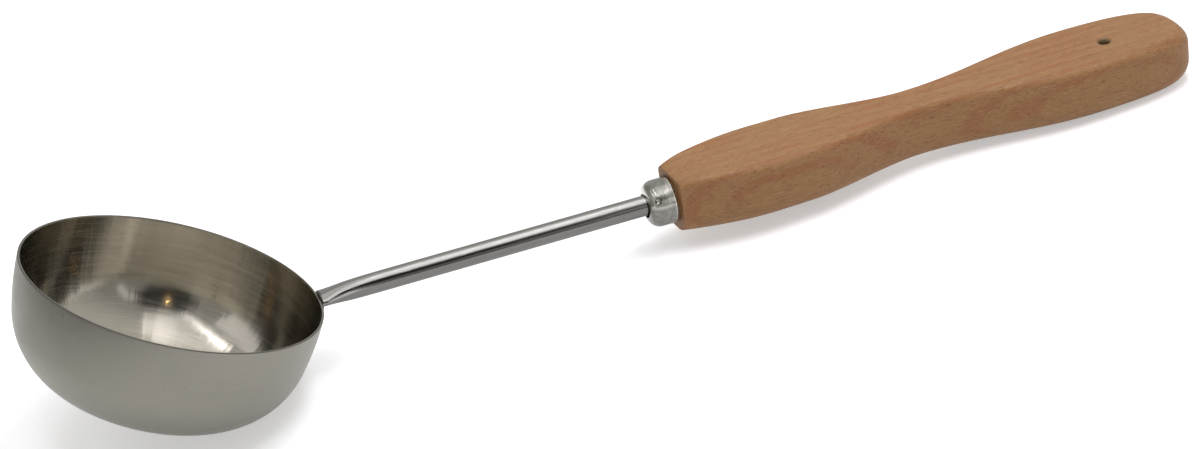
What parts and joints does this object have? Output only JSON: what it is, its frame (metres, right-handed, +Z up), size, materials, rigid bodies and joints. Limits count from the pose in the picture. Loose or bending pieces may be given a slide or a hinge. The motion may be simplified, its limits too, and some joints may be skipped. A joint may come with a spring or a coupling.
{
  "type": "sauna ladle",
  "caption": "Sauna ladle: deep steel bowl welded to a straight rod stem that runs through a metal ferrule into a waisted beech handle with a hanging hole.",
  "frame": {"origin": "on the table below the middle of the ladle's box, with the ladle lying at rest on its bowl's belly and the handle's rear end", "axes": "+X along the ladle from the bowl to the handle's rear end, +Z up from the table, +Y to the left of the handle; the XZ plane is the plane of symmetry"},
  "size_m": [0.4188, 0.1, 0.0718],
  "materials": {
    "bowl_steel": "satin drawn sheet, brushed round inside",
    "stem_steel": "polished rod with fine lengthwise lines",
    "weld_metal": "dull weld fillet",
    "ferrule_metal": "dull, mottled and scuffed",
    "handle_wood": "sanded beech with fine flecks, no lacquer"
  },
  "bodies": {
    "root": {"bowl": "bowl_steel", "stem": "stem_steel", "weld_bead": "weld_metal", "ferrule": "ferrule_metal", "handle": "handle_wood"}
  },
  "joints": []
}
